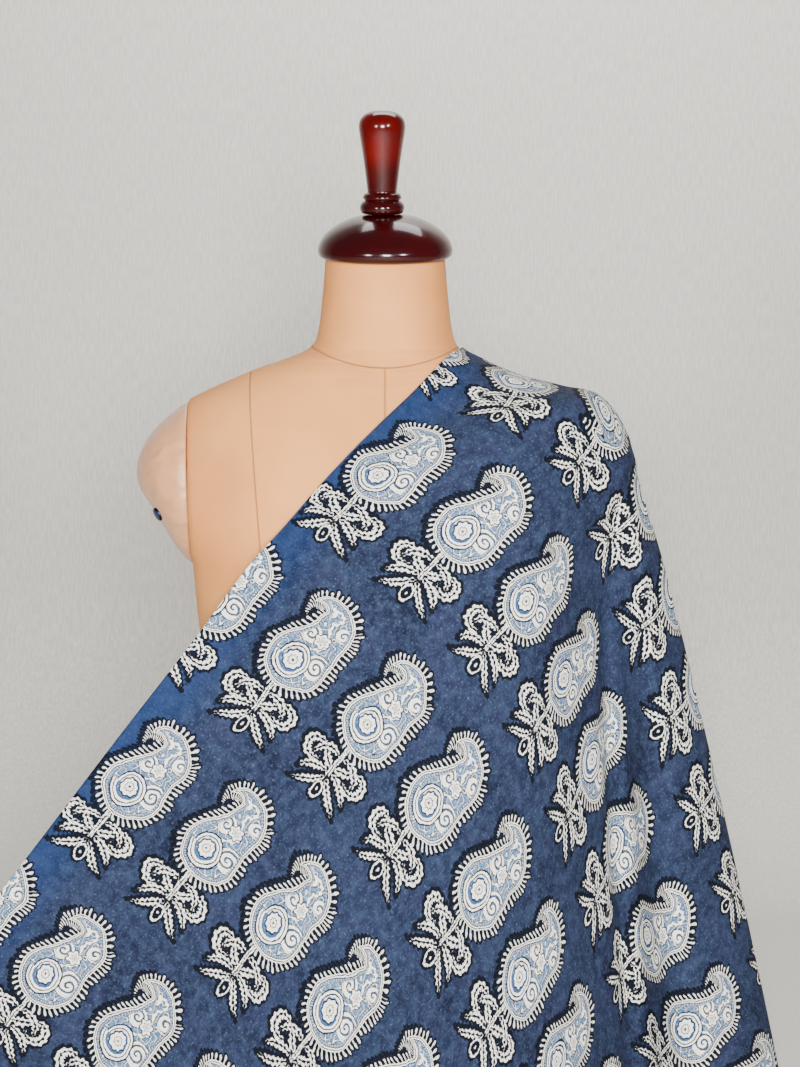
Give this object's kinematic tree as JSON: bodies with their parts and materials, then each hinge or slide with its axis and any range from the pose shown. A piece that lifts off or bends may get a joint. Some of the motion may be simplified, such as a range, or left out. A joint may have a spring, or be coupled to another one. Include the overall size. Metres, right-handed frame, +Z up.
{
  "type": "draped kalamkari fabric on dress form",
  "caption": "Indigo block-printed cotton with cream paisley motifs, draped over the shoulder of a padded dress form with a cherry wood neck cap and knob.",
  "frame": {"origin": "centre of the dress form's flat underside, on the surface it stands on", "axes": "+Z up along the form, front of the chest towards -Y, the draped shoulder on +X"},
  "size_m": [0.8568, 0.2613, 0.877],
  "materials": {
    "printed_cotton": "matt, block printed in cream and light blue on mottled indigo",
    "form_cover": "smooth, satin, skin-toned cotton cover",
    "pad_satin": "satin with stretch creases",
    "cherry_wood": "high gloss dark cherry lacquer",
    "blued_steel": "dark blue"
  },
  "bodies": {
    "root": {"kalamkari_cloth": "printed_cotton", "form_body": "form_cover", "arm_pad_left": "pad_satin", "arm_pad_right": "pad_satin", "pad_bolt": "blued_steel", "neck_cap": "cherry_wood", "neck_knob": "cherry_wood"}
  },
  "joints": []
}
